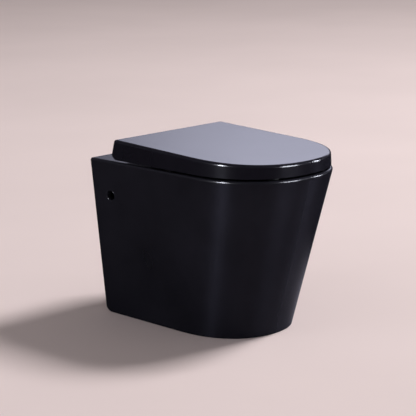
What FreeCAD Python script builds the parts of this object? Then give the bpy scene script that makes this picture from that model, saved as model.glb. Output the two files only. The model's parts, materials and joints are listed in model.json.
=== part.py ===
import FreeCAD, Part
import math
import os
import types

import Sketcher

# A back-to-wall toilet: a tapered glazed pan that stands on the floor and is drawn to the wall
# by two hidden studs, with a seat ring, a wrap-over lid and a pair of quick-release hinges.
# The front points to -Y, +Z is up, and the wall is the plane y = pan_depth / 2.
# Distances named "from_wall" are measured from that plane towards the front.

SIZES = {
    # Pan, outside
    "pan_width": 360,
    "pan_depth": 540,
    "pan_height": 385.4,
    "foot_width": 282,
    "foot_depth": 431.6,
    "rim_nose": 196.7,
    "foot_nose": 172.6,
    "nose_fullness": 0.63,
    "rim_round": 6,
    "rear_corner_round": 6,
    "foot_round": 3,
    "heel_round": 25,
    # Pan, casting
    "side_wall": 10,
    "rim_plate": 14,
    "rear_wall": 12,
    "service_width": 220,
    "service_height": 118,
    "service_round": 30,
    # Bowl and trapway
    "rim_side": 48,
    "rim_front": 46,
    "bowl_from_wall": 170,
    "rim_overhang": 8,
    "rim_inner_round": 5,
    "bowl_wall": 9,
    "bowl_fullness": 0.58,
    "circle_fullness": 0.5523,
    "bowl_widest_from_wall": 335,
    "belly_rise": 158,
    "belly_side_inset": 27,
    "belly_back_inset": 39,
    "belly_front_inset": 45,
    "belly_widest_shift": 10,
    "throat_rise": 73,
    "throat_side_inset": 62,
    "throat_back_inset": 73,
    "throat_front_inset": 102,
    "throat_widest_shift": 25,
    "sump_from_wall": 300,
    "sump_height": 85,
    "sump_radius": 42,
    "dip_from_wall": 215,
    "weir_from_wall": 130,
    "weir_height": 233,
    "trap_bore": 80,
    "trap_wall": 11,
    "trap_bend": 60,
    "spigot_length": 54,
    "spigot_recess": 6,
    "spigot_clearance": 14,
    # Flush inlet
    "inlet_bore": 55,
    "inlet_depth": 38,
    "duct_bore": 40,
    "inlet_wall": 8,
    # Wall fixing: flush inlet and waste outlet keep their distances from the studs
    "stud_height": 300,
    "stud_spacing": 180,
    "inlet_above_studs": 35,
    "outlet_below_studs": 100,
    "stud_bore": 13,
    "bush_outside": 22,
    "bush_fit": 0.15,
    "bush_flange": 34,
    "bush_flange_thick": 3,
    "block_width": 30,
    "block_length": 64,
    "block_chamfer": 3,
    "clamp_from_wall": 63,
    "clamp_screw": 10,
    "clamp_screw_length": 18,
    "clamp_fit": 0.1,
    "clamp_hex": 5,
    "clamp_hex_depth": 6,
    "side_hole": 24,
    "side_hole_chamfer": 1.5,
    # Seat fixing
    "seat_hole_spacing": 155,
    "seat_hole_from_wall": 141,
    "seat_hole": 14,
    "bolt": 6,
    "bolt_fit": 0.15,
    "bolt_head": 11,
    "bolt_head_thick": 3.2,
    "bolt_hex": 4,
    "bolt_hex_depth": 2,
    "bolt_length": 46,
    "sleeve_outside": 13,
    "sleeve_top_gap": 0.3,
    "sleeve_flare": 19,
    "sleeve_flare_length": 7,
    "nut_flange": 17,
    "nut_flange_thick": 2,
    "nut_hex": 10,
    "nut_thick": 5,
    # Hinges
    "axis_from_wall": 101,
    "axis_above_rim": 28,
    "hinge_width": 30,
    "barrel_radius": 13,
    "knuckle_radius": 11,
    "knuckle_width": 10,
    "knuckle_gap": 0.4,
    "pin_radius": 4,
    "pin_fit": 0.05,
    "pin_end_gap": 0.5,
    "pin_depth": 8,
    "damper_radius": 9.5,
    "damper_length": 19,
    "damper_fit": 0.1,
    "arm_drop": 12,
    "arm_rise": 8,
    "foot_length": 34,
    "pad_thick": 1.5,
    "base_thick": 4,
    "base_length": 36,
    "base_width": 26,
    "base_round": 8,
    "post_radius": 8,
    "post_height": 10,
    "post_fit": 0.15,
    "latch_above_base": 4,
    "latch_thick": 2.5,
    "latch_width": 21,
    "latch_bite": 1,
    "latch_fit": 0.3,
    "groove_depth": 1.3,
    "button_width": 18,
    "button_height": 9,
    "button_round": 3,
    "button_travel": 2.5,
    "button_proud": 3.2,
    "button_thick": 4,
    "button_fit": 0.35,
    # Seat ring
    "ring_gap": 6,
    "ring_thick": 17,
    "ring_clearance": 3.5,
    "ring_round": 6,
    "ring_from_wall": 130,
    "ring_hole_width": 224,
    "ring_hole_from_wall": 203,
    "ring_front_width": 44,
    "ring_shell": 5,
    "ring_bridge_from_wall": 212,
    "ring_ribs": 6,
    "ring_rib": 2.2,
    "ring_rib_recess": 4,
    "ring_rib_from_wall": 265,
    "ring_rib_spacing": 42,
    "notch_side_clearance": 1.1,
    "notch_front_clearance": 5,
    "ring_buffer_length": 26,
    "ring_buffer_width": 12,
    "ring_buffer_round": 4,
    "buffer_stem": 10,
    "rear_buffer_from_side": 23.5,
    "rear_buffer_from_wall": 235,
    "front_buffer_spacing": 150,
    "front_buffer_from_front": 29.3,
    # Lid
    "lid_inset": 1.5,
    "lid_front_inset": 3.7,
    "lid_gap": 4.3,
    "lid_nose": 192,
    "lid_draft": 1.5,
    "lid_wall": 4,
    "lid_heel_from_wall": 71,
    "lid_rear_lean": 12.4,
    "lid_rear_height": 51.5,
    "lid_front_height": 33.7,
    "lid_heel_round": 18,
    "lid_round": 6.5,
    "lid_corner_round": 6,
    "lid_notch_height": 16.5,
    "lid_buffer_radius": 7,
    "lid_buffer_spacing": 130,
    "lid_buffer_from_front": 31.3,
    "lid_web": 20,
}

BEYOND = 5  # how far a cutting tool runs past what it cuts, in mm
NEAR = 0.01  # how close an edge lies to a stated place to be picked, in mm

doc = FreeCAD.newDocument("Toilet")
V = FreeCAD.Vector
sheet = doc.addObject("Spreadsheet::Sheet", "Sizes")


class Size(float):
    """A number that remembers its formula in the sheet, so that it can draw a shape and bind it."""

    def __new__(cls, number, formula):
        made = float.__new__(cls, number)
        made.formula = formula
        return made

    def __add__(self, other):
        return Size(float(self) + float(other), f"({self.formula} + {formula_of(other)})")

    def __sub__(self, other):
        return Size(float(self) - float(other), f"({self.formula} - {formula_of(other)})")

    def __mul__(self, other):
        return Size(float(self) * float(other), f"({self.formula} * {formula_of(other)})")

    def __truediv__(self, other):
        return Size(float(self) / float(other), f"({self.formula} / {formula_of(other)})")

    def __neg__(self):
        return self * -1

    def root(self):
        return Size(math.sqrt(self), f"sqrt({self.formula})")


def formula_of(value):
    return value.formula if isinstance(value, Size) else repr(float(value))


def fixed(number):
    return Size(number, repr(float(number)))


def fill_sheet():
    """One row for each size: its name, its number and its alias."""
    sizes = {}
    for row, (name, number) in enumerate(SIZES.items(), start=1):
        sheet.set(f"A{row}", name)
        sheet.set(f"B{row}", str(number))
        sheet.setAlias(f"B{row}", name)
        sizes[name] = Size(number, f"Sizes.{name}")
    doc.recompute()
    return types.SimpleNamespace(**sizes)


s = fill_sheet()
ZERO = fixed(0)
wall = s.pan_depth / 2
rim = s.pan_height


def from_wall(distance):
    return wall - distance


# ---------------------------------------------------------------- drawing


def bind(thing, path, size):
    thing.setExpression(path, formula_of(size))


def bind_place(thing, at):
    for letter, size in zip("xyz", at):
        bind(thing, f"Placement.Base.{letter}", size)


def pin(sketch, curve, point, x, y):
    """Hold a point of a sketch at x, y from the origin."""
    for kind, size, axis in (("DistanceX", x, -2), ("DistanceY", y, -1)):
        if abs(size) < 1e-9:
            sketch.addConstraint(Sketcher.Constraint("PointOnObject", curve, point, axis))
        else:
            index = sketch.addConstraint(
                Sketcher.Constraint(kind, -1, 1, curve, point, float(size))
            )
            bind(sketch, f"Constraints[{index}]", size)


def line(sketch, start, end):
    """A pinned straight line."""
    curve = sketch.addGeometry(Part.LineSegment(V(*start, 0), V(*end, 0)))
    pin(sketch, curve, 1, *start)
    pin(sketch, curve, 2, *end)
    return curve


def quarter(sketch, side, tip, fullness):
    """A quarter of a rounded outline, square to X at the side point and square to Y at the tip.

    It is one cubic spline: fullness 0.5523 gives a quarter circle or ellipse, more is squarer.
    """
    poles = [
        side,
        (side[0], side[1] + (tip[1] - side[1]) * fullness),
        (side[0] * fullness, tip[1]),
        tip,
    ]
    spline = Part.BSplineCurve()
    spline.buildFromPolesMultsKnots([V(*pole, 0) for pole in poles], [4, 4], [0, 1], False, 3)
    curve = sketch.addGeometry(spline)
    circles = [
        sketch.addGeometry(Part.Circle(V(*pole, 0), V(0, 0, 1), 5), True) for pole in poles
    ]
    role = "InternalAlignment:Sketcher::BSplineControlPoint"
    sketch.addConstraint(
        [Sketcher.Constraint(role, circle, 3, curve, n) for n, circle in enumerate(circles)]
    )
    sketch.addConstraint(Sketcher.Constraint("Weight", circles[0], 1.0))
    for circle in circles[1:]:
        sketch.addConstraint(Sketcher.Constraint("Equal", circles[0], circle))
    for circle, pole in zip(circles, poles):
        pin(sketch, circle, 3, *pole)


def flat_sketch(name, height):
    """A sketch in a horizontal plane: its x and y are the part's."""
    sketch = doc.addObject("Sketcher::SketchObject", name)
    bind(sketch, "Placement.Base.z", height)
    return sketch


def side_sketch(name, x=ZERO):
    """A sketch in a plane square to X: its x and y are the part's y and z."""
    sketch = doc.addObject("Sketcher::SketchObject", name)
    sketch.Placement.Rotation = FreeCAD.Rotation(V(1, 1, 1), 120)
    bind(sketch, "Placement.Base.x", x)
    return sketch


def polygon(sketch, points):
    for start, end in zip(points, points[1:] + points[:1]):
        line(sketch, start, end)
    return sketch


def d_outline(name, height, half_width, back, front, nose):
    """A D: straight back, straight sides and a full nose at the front."""
    sketch = flat_sketch(name, height)
    side = front + nose
    line(sketch, (-half_width, back), (half_width, back))
    line(sketch, (half_width, back), (half_width, side))
    quarter(sketch, (half_width, side), (ZERO, front), s.nose_fullness)
    quarter(sketch, (-half_width, side), (ZERO, front), s.nose_fullness)
    line(sketch, (-half_width, side), (-half_width, back))
    return sketch


def egg_outline(name, height, half_width, back, widest, front, fullness):
    """A rounded outline of four quarters, widest at y = widest."""
    sketch = flat_sketch(name, height)
    for tip in (front, back):
        for x in (half_width, -half_width):
            quarter(sketch, (x, widest), (ZERO, tip), fullness)
    return sketch


# ---------------------------------------------------------------- solids

TURN = {
    "+Z": FreeCAD.Rotation(),
    "-Z": FreeCAD.Rotation(V(1, 0, 0), 180),
    "+X": FreeCAD.Rotation(V(0, 1, 0), 90),
    "-X": FreeCAD.Rotation(V(0, 1, 0), -90),
    "+Y": FreeCAD.Rotation(V(1, 0, 0), -90),
    "-Y": FreeCAD.Rotation(V(1, 0, 0), 90),
}


def cylinder(name, radius, length, at, axis="+Z"):
    made = doc.addObject("Part::Cylinder", name)
    made.Placement.Rotation = TURN[axis]
    bind(made, "Radius", radius)
    bind(made, "Height", length)
    bind_place(made, at)
    return made


def cone(name, radius, end_radius, length, at, axis="+Z"):
    made = doc.addObject("Part::Cone", name)
    made.Placement.Rotation = TURN[axis]
    bind(made, "Radius1", radius)
    bind(made, "Radius2", end_radius)
    bind(made, "Height", length)
    bind_place(made, at)
    return made


def sphere(name, radius, at):
    made = doc.addObject("Part::Sphere", name)
    bind(made, "Radius", radius)
    bind_place(made, at)
    return made


def box(name, low, high):
    made = doc.addObject("Part::Box", name)
    for path, start, end in zip(("Length", "Width", "Height"), low, high):
        bind(made, path, end - start)
    bind_place(made, low)
    return made


def loft(name, sections, ruled=True):
    made = doc.addObject("Part::Loft", name)
    made.Sections = sections
    made.Solid = True
    made.Ruled = ruled
    return made


def extrude(name, sketch, length, direction):
    """A prism of the sketch, from its plane, along direction."""
    made = doc.addObject("Part::Extrusion", name)
    made.Base = sketch
    made.DirMode = "Custom"
    made.Dir = V(*direction)
    made.Solid = True
    bind(made, "LengthFwd", length)
    return made


def fuse(name, *shapes):
    made = doc.addObject("Part::MultiFuse", name)
    made.Shapes = list(shapes)
    made.Refine = True
    return made


def common(name, *shapes):
    made = doc.addObject("Part::MultiCommon", name)
    made.Shapes = list(shapes)
    return made


def cut(name, base, *tools):
    made = doc.addObject("Part::Cut", name)
    made.Base = base
    made.Tool = tools[0] if len(tools) == 1 else fuse(f"{name}_tools", *tools)
    made.Refine = True
    return made


def group(name, *solids):
    made = doc.addObject("Part::Compound", name)
    made.Links = list(solids)
    return made


def fillet(name, base, *picks):
    """Round the edges that each (radius, test) picks; a test reads the edge's box."""
    doc.recompute()
    made = doc.addObject("Part::Fillet", name)
    made.Base = base
    chosen = []
    for number, edge in enumerate(base.Shape.Edges, start=1):
        for radius, test in picks:
            if test(edge.BoundBox):
                chosen.append((number, float(radius), float(radius)))
                break
    made.Edges = chosen
    return made


def flat_at(height):
    """Edges that lie in the horizontal plane at height."""
    return lambda b: abs(b.ZMin - height) < NEAR and abs(b.ZMax - height) < NEAR


def bent_pipe(name, points, radius, bend):
    """A round bar of one radius along a route in the plane x = 0, with tangent arcs at its bends."""
    route = [V(0, *point) for point in points]
    edges = []
    start = route[0]
    for before, corner, after in zip(route, route[1:], route[2:]):
        arriving = (corner - before).normalize()
        leaving = (after - corner).normalize()
        half_turn = arriving.getAngle(leaving) / 2
        reach = bend * math.tan(half_turn)
        first = corner - arriving * reach
        last = corner + leaving * reach
        inward = (leaving - arriving).normalize()
        middle = corner + inward * (bend / math.cos(half_turn) - bend)
        edges.append(Part.LineSegment(start, first).toShape())
        edges.append(Part.Arc(first, middle, last).toShape())
        start = last
    edges.append(Part.LineSegment(start, route[-1]).toShape())
    ring = Part.Wire(Part.makeCircle(radius, route[0], route[1] - route[0]))
    made = doc.addObject("Part::Feature", name)
    made.Shape = Part.Wire(edges).makePipeShell([ring], True, False)
    return made


pieces = {}


def piece(node, thing):
    """Keep a finished sub-part under the name of its node."""
    thing.Label = node
    pieces[node] = thing
    return thing


# ---------------------------------------------------------------- pan

outlet_height = s.stud_height - s.outlet_below_studs
inlet_height = s.stud_height + s.inlet_above_studs
bowl_half_width = s.pan_width / 2 - s.rim_side + s.rim_overhang
bowl_back = s.bowl_from_wall - s.rim_overhang
bowl_front = s.pan_depth - s.rim_front + s.rim_overhang


def rounding_loss(lean):
    """How far the round of the rim stands back from the sharp corner of a wall that leans out."""
    return s.rim_round * (lean + (lean * lean + 1).root() - 1)


side_lean = (s.pan_width - s.foot_width) / 2 / s.pan_height
nose_lean = (s.pan_depth - s.foot_depth) / s.pan_height
rim_half_width = s.pan_width / 2 + rounding_loss(side_lean)
rim_depth = s.pan_depth + rounding_loss(nose_lean)


def pan_form(name, inset, back):
    """The tapered outside of the pan, or the same form moved in by inset."""
    foot_line = d_outline(
        f"{name}_foot_line",
        ZERO,
        s.foot_width / 2 - inset,
        back,
        from_wall(s.foot_depth - inset),
        s.foot_nose - inset,
    )
    rim_line = d_outline(
        f"{name}_rim_line",
        rim,
        rim_half_width - inset,
        back,
        from_wall(rim_depth - inset),
        s.rim_nose - inset,
    )
    return loft(name, [foot_line, rim_line])


def bowl_form(name, grow, top):
    """The bowl from its sump up to a height near the rim; grow moves its wall outwards.

    It passes through a throat and a belly, each drawn in from the bowl's mouth by its insets.
    """
    sump = s.trap_bore / 2
    # height, half width, back, widest and front, the last three as distances from the wall
    levels = [
        (s.sump_height, sump, s.sump_from_wall - sump, s.sump_from_wall, s.sump_from_wall + sump),
        (
            s.sump_height + s.throat_rise,
            bowl_half_width - s.throat_side_inset,
            bowl_back + s.throat_back_inset,
            s.bowl_widest_from_wall - s.throat_widest_shift,
            bowl_front - s.throat_front_inset,
        ),
        (
            s.sump_height + s.belly_rise,
            bowl_half_width - s.belly_side_inset,
            bowl_back + s.belly_back_inset,
            s.bowl_widest_from_wall - s.belly_widest_shift,
            bowl_front - s.belly_front_inset,
        ),
        (top, bowl_half_width, bowl_back, s.bowl_widest_from_wall, bowl_front),
    ]
    sections = []
    for number, (height, half_width, back, widest, front) in enumerate(levels):
        fullness = s.circle_fullness if number == 0 else s.bowl_fullness
        sections.append(
            egg_outline(
                f"{name}_line_{number}",
                height,
                half_width + grow,
                from_wall(back - grow),
                from_wall(widest),
                from_wall(front + grow),
                fullness,
            )
        )
    return loft(name, sections, ruled=False)


def trapway(name, grow, overrun):
    """The bent pipe from the sump over the weir to the straight spigot of the outlet."""
    points = [
        (from_wall(s.sump_from_wall), s.sump_height),
        (from_wall(s.dip_from_wall), s.sump_height),
        (from_wall(s.weir_from_wall), s.weir_height),
        (from_wall(s.spigot_recess + s.spigot_length), outlet_height),
        (from_wall(s.spigot_recess - overrun), outlet_height),
    ]
    return bent_pipe(name, points, s.trap_bore / 2 + grow, s.trap_bend)


def side_hole_tool(side):
    """The hole in a side wall, square to the leaning wall, with a chamfered mouth."""
    name = "left" if side < 0 else "right"
    lean = (rim_half_width - s.foot_width / 2) / s.pan_height
    square = (lean * lean + 1).root()
    face = s.foot_width / 2 + lean * s.stud_height
    start = (
        (face + fixed(BEYOND) / square) * side,
        from_wall(s.clamp_from_wall),
        s.stud_height - lean * BEYOND / square,
    )
    outwards = FreeCAD.Rotation(V(0, 1, 0), (90 + math.degrees(math.atan(lean))) * side)
    shaft = cylinder(f"side_shaft_{name}", s.side_hole / 2, s.side_wall + BEYOND * 3, start)
    mouth = cone(
        f"side_mouth_{name}",
        s.side_hole / 2 + s.side_hole_chamfer + BEYOND,
        s.side_hole / 2,
        s.side_hole_chamfer + BEYOND,
        start,
    )
    inwards = outwards.multiply(TURN["-Z"])
    shaft.Placement.Rotation = inwards
    mouth.Placement.Rotation = inwards
    return fuse(f"side_hole_tool_{name}", shaft, mouth)


def make_pan():
    squared = cut(
        "pan_squared",
        pan_form("pan_form", ZERO, wall + BEYOND),
        box(
            "wall_trim",
            (-s.pan_width, wall, ZERO - BEYOND),
            (s.pan_width, wall + BEYOND * 2, rim + BEYOND),
        ),
    )
    block = fillet(
        "pan_rounded",
        squared,
        (s.rim_round, flat_at(rim)),
        (s.foot_round, lambda b: flat_at(0)(b) and b.YMin < wall - NEAR),
        (s.rear_corner_round, lambda b: b.YMin > wall - NEAR and b.ZLength > rim - NEAR),
    )
    heel = cut(
        "heel_tool",
        box(
            "heel_block",
            (-s.pan_width / 2, from_wall(s.heel_round), ZERO - BEYOND),
            (s.pan_width / 2, wall + BEYOND, s.heel_round),
        ),
        cylinder(
            "heel_bar",
            s.heel_round,
            s.pan_width,
            (-s.pan_width / 2, from_wall(s.heel_round), s.heel_round),
            "+X",
        ),
    )
    cavity = cut(
        "pan_cavity",
        pan_form("cavity_form", s.side_wall, from_wall(s.rear_wall)),
        box(
            "cavity_top",
            (-s.pan_width / 2, -wall, rim - s.rim_plate),
            (s.pan_width / 2, wall, rim + BEYOND),
        ),
    )
    service = fillet(
        "service_opening",
        box(
            "service_block",
            (-s.service_width / 2, from_wall(s.rear_wall + BEYOND), ZERO - BEYOND),
            (s.service_width / 2, wall + BEYOND, s.service_height),
        ),
        (
            s.service_round,
            lambda b: flat_at(s.service_height)(b) and b.XLength < NEAR,
        ),
    )
    outlet_hole = cylinder(
        "outlet_hole",
        s.trap_bore / 2 + s.trap_wall + s.spigot_clearance,
        s.rear_wall + BEYOND * 2,
        (ZERO, from_wall(s.rear_wall + BEYOND), outlet_height),
        "+Y",
    )
    shell = cut("pan_shell", block, heel, cavity, service, outlet_hole)

    sump_place = (ZERO, from_wall(s.sump_from_wall), s.sump_height)
    bowl_top = rim - s.rim_plate
    duct_length = s.bowl_from_wall
    body = fuse(
        "pan_body",
        shell,
        bowl_form("bowl_outside", s.bowl_wall, bowl_top + s.rim_overhang / 2),
        sphere("sump_outside", s.sump_radius + s.trap_wall, sump_place),
        trapway("trap_outside", s.trap_wall, ZERO),
        cylinder(
            "duct_outside",
            s.inlet_bore / 2 + s.inlet_wall,
            duct_length,
            (ZERO, from_wall(duct_length), inlet_height),
            "+Y",
        ),
    )
    mouth = extrude(
        "rim_mouth",
        egg_outline(
            "rim_mouth_line",
            bowl_top - BEYOND,
            s.pan_width / 2 - s.rim_side,
            from_wall(s.bowl_from_wall),
            from_wall(s.bowl_widest_from_wall),
            from_wall(s.pan_depth - s.rim_front),
            s.bowl_fullness,
        ),
        s.rim_plate + BEYOND * 2,
        (0, 0, 1),
    )
    holes = [
        cylinder(
            f"{name}_hole_{side_name}",
            radius,
            length,
            (x * side, y, z),
            axis,
        )
        for side, side_name in ((-1, "left"), (1, "right"))
        for name, radius, length, x, y, z, axis in (
            (
                "stud",
                s.bush_outside / 2 + s.bush_fit,
                s.rear_wall + BEYOND * 2,
                s.stud_spacing / 2,
                from_wall(s.rear_wall + BEYOND),
                s.stud_height,
                "+Y",
            ),
            (
                "seat",
                s.seat_hole / 2,
                s.rim_plate + BEYOND * 2,
                s.seat_hole_spacing / 2,
                from_wall(s.seat_hole_from_wall),
                rim - s.rim_plate - BEYOND,
                "+Z",
            ),
        )
    ]
    hollow = fuse(
        "pan_hollows",
        bowl_form("bowl_inside", ZERO, bowl_top),
        sphere("sump_inside", s.sump_radius, sump_place),
        trapway("trap_inside", ZERO, fixed(BEYOND * 3)),
        mouth,
        cylinder(
            "inlet_socket",
            s.inlet_bore / 2,
            s.inlet_depth + BEYOND,
            (ZERO, from_wall(s.inlet_depth), inlet_height),
            "+Y",
        ),
        cylinder(
            "duct_inside",
            s.duct_bore / 2,
            duct_length + BEYOND * 2 - s.inlet_depth,
            (ZERO, from_wall(duct_length + BEYOND), inlet_height),
            "+Y",
        ),
        side_hole_tool(-1),
        side_hole_tool(1),
        *holes,
    )
    mouth_half_width = s.pan_width / 2 - s.rim_side
    return fillet(
        "pan_casting",
        cut("pan_cast", body, hollow),
        (
            s.rim_inner_round,
            lambda b: flat_at(rim)(b)
            and b.XLength > s.seat_hole
            and b.XMax < mouth_half_width + NEAR
            and b.XMin > -mouth_half_width - NEAR
            and b.YMax < from_wall(s.bowl_from_wall) + NEAR,
        ),
    )


# ---------------------------------------------------------------- lid

axis_y = from_wall(s.axis_from_wall)
axis_z = rim + s.axis_above_rim
skirt = rim + s.lid_gap
lid_rear_top = rim + s.lid_rear_height
lid_rear_from_wall = s.lid_heel_from_wall + s.lid_rear_lean
lid_slope = (s.lid_rear_height - s.lid_front_height) / (s.pan_depth - lid_rear_from_wall)
lid_half_width = s.pan_width / 2 - s.lid_inset
lid_front = s.pan_depth - s.lid_front_inset
hinge_x = s.seat_hole_spacing / 2
SIDES = ((-1, "left"), (1, "right"))


def lid_top_at(distance):
    """Height of the lid's top at a distance from the wall."""
    return lid_rear_top - (distance - lid_rear_from_wall) * lid_slope


def lid_form(name, inset, bottom):
    """The lid's outside, or the same form moved in by inset: a D in plan, a wedge from the side."""
    levels = ((skirt - BEYOND, ZERO), (lid_rear_top + BEYOND, s.lid_draft))
    plan = loft(
        f"{name}_plan",
        [
            d_outline(
                f"{name}_line_{number}",
                height,
                lid_half_width - inset - draft,
                from_wall(s.lid_heel_from_wall - BEYOND),
                from_wall(lid_front - inset - draft),
                s.lid_nose - inset,
            )
            for number, (height, draft) in enumerate(levels)
        ],
    )
    profile = polygon(
        side_sketch(f"{name}_profile", -s.pan_width / 2),
        [
            (from_wall(s.lid_heel_from_wall + inset), bottom),
            (from_wall(lid_rear_from_wall + inset), lid_top_at(lid_rear_from_wall + inset) - inset),
            (-wall, lid_top_at(s.pan_depth) - inset),
            (-wall, bottom),
        ],
    )
    return common(name, plan, extrude(f"{name}_wedge", profile, s.pan_width, (1, 0, 0)))


def on_top(inset):
    """Edges of the lid's sloping top, or of the hollow's roof."""

    def test(b):
        rear_end = lid_top_at(wall - b.YMax) - inset
        front_end = lid_top_at(wall - b.YMin) - inset
        return abs(b.ZMax - rear_end) < NEAR and abs(b.ZMin - front_end) < NEAR

    return test


def make_lid():
    outside = fillet(
        "lid_rounded",
        lid_form("lid_outside", ZERO, skirt),
        (s.lid_round, on_top(0)),
        (
            s.lid_heel_round,
            lambda b: flat_at(skirt)(b) and b.YMin > from_wall(s.lid_heel_from_wall) - NEAR,
        ),
        (
            s.lid_corner_round,
            lambda b: b.ZMin < skirt + NEAR and b.YMin > from_wall(lid_rear_from_wall) - NEAR,
        ),
    )
    inside = fillet(
        "lid_hollow",
        lid_form("lid_inside", s.lid_wall, skirt - BEYOND),
        (s.lid_wall, on_top(s.lid_wall)),
    )
    notches = [
        box(
            f"lid_notch_{name}",
            (start, axis_y + s.barrel_radius / 2, skirt - BEYOND),
            (end, from_wall(s.lid_heel_from_wall - BEYOND), axis_z + s.lid_notch_height),
        )
        for name, start, end in (
            ("left", -hinge_outer, -ring_knuckle_inner),
            ("right", ring_knuckle_inner, hinge_outer),
        )
    ]
    shell = cut("lid_shell", outside, inside, *notches)
    knuckles = [
        knuckle(
            f"lid_knuckle_{name}",
            side,
            lid_knuckle_start,
            [
                (axis_y - s.lid_web / 2, axis_z),
                (axis_y + s.lid_web / 2, axis_z),
                (axis_y + s.lid_web / 2, lid_web_top),
                (axis_y - s.lid_web / 2, lid_web_top),
            ],
        )
        for side, name in SIDES
    ]
    return cut("lid_moulding", fuse("lid_body", shell, *knuckles), *knuckle_bores("lid"))


# ---------------------------------------------------------------- hinges

hinge_inner = hinge_x - s.hinge_width / 2
hinge_outer = hinge_x + s.hinge_width / 2 + s.knuckle_gap / 2
ring_knuckle_start = hinge_inner - s.knuckle_gap - s.knuckle_width
ring_knuckle_inner = ring_knuckle_start - s.knuckle_gap
lid_knuckle_start = hinge_x + s.hinge_width / 2 + s.knuckle_gap
lid_web_top = lid_top_at(s.axis_from_wall) - s.lid_wall / 2
KNUCKLES = {"ring": ring_knuckle_start, "lid": lid_knuckle_start}


def along_x(name, radius, start, length, side):
    """A round bar on the hinge axis, from x = start outwards, or its mirror image."""
    at = start if side > 0 else -start - length
    return cylinder(name, radius, length, (at, axis_y, axis_z), "+X")


def knuckle(name, side, start, web):
    """A hinge knuckle on the axis, with a web that ties it to the seat or the lid."""
    at = start if side > 0 else -start - s.knuckle_width
    sketch = polygon(side_sketch(f"{name}_web_line", at), web)
    return fuse(
        name,
        extrude(f"{name}_web", sketch, s.knuckle_width, (1, 0, 0)),
        along_x(f"{name}_eye", s.knuckle_radius, start, s.knuckle_width, side),
    )


def knuckle_bores(owner):
    """The bores of both knuckles of the ring or the lid."""
    start = KNUCKLES[owner]
    return [
        along_x(
            f"{owner}_bore_{name}",
            s.pin_radius + s.pin_fit,
            start - s.knuckle_gap / 2,
            s.knuckle_width + s.knuckle_gap,
            side,
        )
        for side, name in SIDES
    ]


# The left hinge block holds the seat's damper, which faces its inner knuckle, and the right block
# holds the lid's damper, which faces its outer knuckle. The other knuckle of each turns on a pin.
hinge_end = hinge_x + s.hinge_width / 2
shaft_depth = s.damper_length - s.pin_depth
foot_front = from_wall(s.seat_hole_from_wall + s.foot_length / 2)
foot_rear = from_wall(s.seat_hole_from_wall - s.foot_length / 2)
foot_bottom = rim + s.pad_thick + s.base_thick
post_y = from_wall(s.seat_hole_from_wall)
latch_bottom = foot_bottom + s.latch_above_base
latch_top = latch_bottom + s.latch_thick
latch_rear = post_y + s.post_radius + s.latch_thick
button_bottom = latch_bottom + s.latch_thick / 2 - s.button_height / 2
button_top = button_bottom + s.button_height


def bore_from(face, depth, faces_out):
    """Start of a bore of this depth in a hinge block, from its outer or its inner end."""
    return face - depth if faces_out else face


def make_hinge_block(side, name, damper_faces_out):
    x = hinge_x * side
    low = x - s.hinge_width / 2
    profile = polygon(
        side_sketch(f"hinge_profile_{name}", low),
        [
            (foot_rear, foot_bottom),
            (foot_rear, axis_z - s.arm_drop),
            (axis_y, axis_z - s.arm_drop),
            (axis_y, axis_z + s.arm_drop),
            (foot_front, axis_z + s.arm_rise),
            (foot_front, foot_bottom),
        ],
    )
    body = fillet(
        f"hinge_body_{name}",
        fuse(
            f"hinge_form_{name}",
            extrude(f"hinge_arm_{name}", profile, s.hinge_width, (1, 0, 0)),
            along_x(f"hinge_barrel_{name}", s.barrel_radius, hinge_inner, s.hinge_width, side),
        ),
        (
            s.arm_rise,
            lambda b: flat_at(axis_z + s.arm_rise)(b) and abs(b.YMin - foot_front) < NEAR,
        ),
    )
    damper_face = hinge_end if damper_faces_out else hinge_inner
    pin_face = hinge_inner if damper_faces_out else hinge_end
    damper_bore = s.damper_length + s.knuckle_gap
    return cut(
        f"hinge_block_cut_{name}",
        body,
        along_x(
            f"damper_bore_{name}",
            s.damper_radius + s.damper_fit,
            bore_from(damper_face, s.damper_length, damper_faces_out)
            - (0 if damper_faces_out else s.knuckle_gap),
            damper_bore,
            side,
        ),
        along_x(
            f"pin_bore_{name}",
            s.pin_radius + s.pin_fit,
            bore_from(pin_face, s.pin_depth, not damper_faces_out)
            - (s.knuckle_gap if damper_faces_out else 0),
            s.pin_depth + s.knuckle_gap,
            side,
        ),
        cylinder(
            f"post_socket_{name}",
            s.post_radius + s.post_fit,
            s.post_height + s.post_fit + BEYOND,
            (x, post_y, foot_bottom - BEYOND),
        ),
        box(
            f"latch_slot_{name}",
            (x - s.latch_width / 2 - s.latch_fit, foot_front - BEYOND, latch_bottom - s.latch_fit),
            (
                x + s.latch_width / 2 + s.latch_fit,
                latch_rear + s.button_travel + s.latch_fit,
                latch_top + s.latch_fit,
            ),
        ),
        box(
            f"button_pocket_{name}",
            (
                x - s.button_width / 2 - s.button_fit,
                foot_front - BEYOND,
                button_bottom - s.button_fit,
            ),
            (
                x + s.button_width / 2 + s.button_fit,
                foot_front + s.button_thick - s.button_proud + s.button_travel + s.button_fit,
                button_top + s.button_fit,
            ),
        ),
    )


def make_damper(side, name, faces_out):
    """A rotary damper: a closed can with a bore for its shaft."""
    face = hinge_end if faces_out else hinge_inner
    start = bore_from(face, s.damper_length, faces_out)
    hole = bore_from(face, shaft_depth, faces_out)
    return cut(
        f"damper_can_{name}",
        along_x(f"damper_barrel_{name}", s.damper_radius, start, s.damper_length, side),
        along_x(
            f"damper_hole_{name}",
            s.pin_radius + s.pin_fit,
            hole if faces_out else hole - s.knuckle_gap,
            shaft_depth + s.knuckle_gap,
            side,
        ),
    )


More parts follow.
